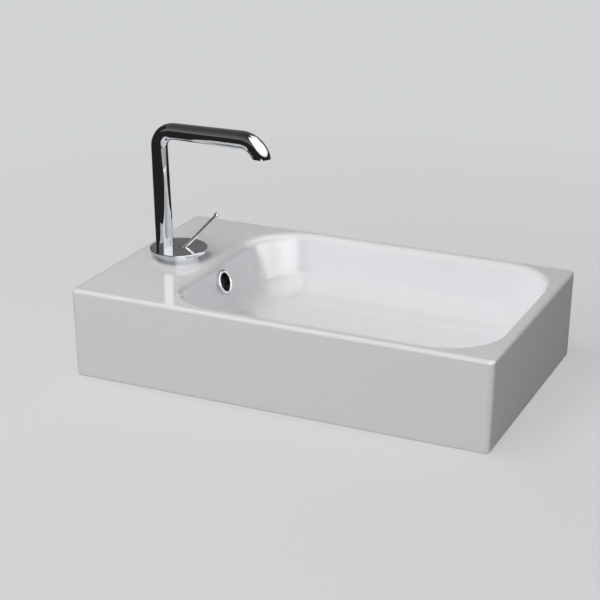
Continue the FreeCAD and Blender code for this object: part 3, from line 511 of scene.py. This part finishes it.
# %% How a window glows
def window_finish(name, azimuths, profile, centre, stops, fades, strength, dim):
    """Daylight through a pale blind: it gives the mirror a white patch without a hard edge.

    The stops are (place, grey) along the card, and the fades are heights in metres at its foot and
    head. The foot gives a share of the full light, which is reached at a height above it: dim.
    """
    finish, tree = new_finish(name)
    place = add_node(tree, "ShaderNodeTexCoord").outputs["Object"]
    seen = add_node(tree, "ShaderNodeVectorMath", {0: place, 1: centre},
                    operation="SUBTRACT").outputs["Vector"]
    turn = add_node(tree, "ShaderNodeTexGradient", {"Vector": seen}, gradient_type="RADIAL")
    # The radial gradient runs from zero to one in a full turn, from the left by way of the front.
    first, last = ((azimuth - 90) / 360 + 0.5 for azimuth in azimuths)
    along = add_node(tree, "ShaderNodeMapRange", {
        "Value": turn.outputs["Fac"], "From Min": first, "From Max": last})
    bands = add_node(tree, "ShaderNodeValToRGB", {"Fac": along.outputs["Result"]})
    bands.color_ramp.interpolation = "EASE"
    bands.color_ramp.elements[-1].color = bands.color_ramp.elements[0].color
    for spot, grey in stops:
        bands.color_ramp.elements.new(spot).color = (grey, grey, grey, 1.0)
    level = add_node(tree, "ShaderNodeSeparateXYZ", {"Vector": seen}).outputs["Z"]
    foot, head = profile[0][1], profile[-1][1]
    rise = add_node(tree, "ShaderNodeMapRange", {
        "Value": level, "From Min": foot, "From Max": foot + fades[0]},
        interpolation_type="SMOOTHSTEP")
    fall = add_node(tree, "ShaderNodeMapRange", {
        "Value": level, "From Min": head, "From Max": head - fades[1]},
        interpolation_type="SMOOTHSTEP")
    both = add_node(tree, "ShaderNodeMath", {
        0: rise.outputs["Result"], 1: fall.outputs["Result"]}, operation="MULTIPLY")
    gain = add_node(tree, "ShaderNodeMapRange", {
        "Value": level, "From Min": foot, "From Max": foot + dim[1], "To Min": dim[0] * strength,
        "To Max": strength}, interpolation_type="SMOOTHSTEP")
    full = add_node(tree, "ShaderNodeMath", {
        0: both.outputs["Value"], 1: gain.outputs["Result"]}, operation="MULTIPLY")
    glow = add_node(tree, "ShaderNodeEmission", {
        "Color": bands.outputs["Color"], "Strength": full.outputs["Value"]})
    add_node(tree, "ShaderNodeOutputMaterial", {"Surface": glow.outputs["Emission"]})
    return finish


# %% Windows
WINDOW_DISTANCE = 2.6  # metres
BOWL_CORNER = Vector((-0.1, 0.09, 0.08))


def window_card(name, azimuths, profile, centre, stops, fades, strength, dim=(1.0, 1.0)):
    """A curved card that glows as a window does."""
    finish = window_finish(name, azimuths, profile, centre, stops, fades, strength, dim)
    standing_card(name, azimuths, profile, centre, finish)


window_card("side_window_card", azimuths=(4, 154),
            profile=upright(WINDOW_DISTANCE, low=13.5, high=80), centre=BASIN_MIDDLE,
            stops=((0.05, 1.0), (0.93, 1.0)), fades=(0.1, 5.0), strength=1.8, dim=(0.55, 1.1))
window_card("high_window_card", azimuths=(145, 176),
            profile=upright(WINDOW_DISTANCE, low=38, high=80), centre=BASIN_MIDDLE,
            stops=((0.2, 1.0), (0.8, 1.0)), fades=(0.4, 5.0), strength=1.5)
window_card("low_window_card", azimuths=(14, 118),
            profile=[(0.75, 0.05), (0.75, 0.12), (0.55, 0.145)], centre=BOWL_CORNER,
            stops=((0.1, 0.75), (0.33, 0.95), (0.6, 0.75), (0.78, 1.0), (0.88, 1.0)),
            fades=(0.02, 0.005), strength=4.6)

# %% [markdown]
# ## Soft light from all round
# Besides the lamps there is the soft light that a studio gives from all sides, here stronger from the
# left. One plain world colour would do for a dull object, but chrome mirrors the world as well as
# being lit by it. So the world answers each kind of ray in its own way: soft light for what is lit, a
# dusk that darkens upwards for what is mirrored, and an even pale backdrop for the camera.

# %% World
SOFT_LEFT, SOFT_RIGHT = 0.6, 0.2  # strengths of the soft light from both sides
DUSK_LEVEL, DUSK_ABOVE = 0.29, 0.05  # what a mirror meets at eye level and straight above
BACKDROP = 0.65
world = bpy.data.worlds.new("studio")
bpy.context.scene.world = world
world.use_nodes = True
sky = world.node_tree
sky.nodes.clear()
ray = add_node(sky, "ShaderNodeLightPath")
way = add_node(sky, "ShaderNodeSeparateXYZ", {
    "Vector": add_node(sky, "ShaderNodeTexCoord").outputs["Generated"]})
dusk = add_node(sky, "ShaderNodeMapRange", {
    "Value": way.outputs["Z"], "To Min": DUSK_LEVEL, "To Max": DUSK_ABOVE})
soft = add_node(sky, "ShaderNodeMapRange", {
    "Value": way.outputs["X"], "From Min": -1.0, "To Min": SOFT_LEFT, "To Max": SOFT_RIGHT})
lit = add_node(sky, "ShaderNodeMix", {
    "Factor": ray.outputs["Is Glossy Ray"], "A": soft.outputs["Result"], "B": dusk.outputs["Result"]})
shown = add_node(sky, "ShaderNodeMix", {
    "Factor": ray.outputs["Is Camera Ray"], "A": lit.outputs["Result"], "B": BACKDROP})
ambient = add_node(sky, "ShaderNodeBackground", {"Strength": shown.outputs["Result"]})
add_node(sky, "ShaderNodeOutputWorld", {"Surface": ambient.outputs["Background"]})
print("world:", world.name, "with", len(sky.nodes), "nodes")

# %% [markdown]
# ## Camera
# The camera stands where the photograph was taken: a little to the right and above, with a long
# lens. It could be moved by eye until the two pictures agree. Here its place, turn and tilt come from
# fitting the basin's corners, which is surer.

# %% Camera
CAMERA_PLACE = (0.6945, -1.5816, 0.7410)  # metres
CAMERA_TURN, CAMERA_TILT = 24.723, 20.949  # degrees
LENS_MM, SENSOR_MM = 96.37, 36.0
lens = bpy.data.cameras.new("camera")
lens.sensor_width = SENSOR_MM
lens.lens = LENS_MM
camera = bpy.data.objects.new("camera", lens)
camera.location = CAMERA_PLACE
camera.rotation_euler = (math.radians(90 - CAMERA_TILT), 0, math.radians(CAMERA_TURN))
bpy.context.scene.collection.objects.link(camera)
bpy.context.scene.camera = camera
bpy.context.scene.view_settings.view_transform = "Standard"
print("camera distance in metres:", round(camera.location.length, 3))
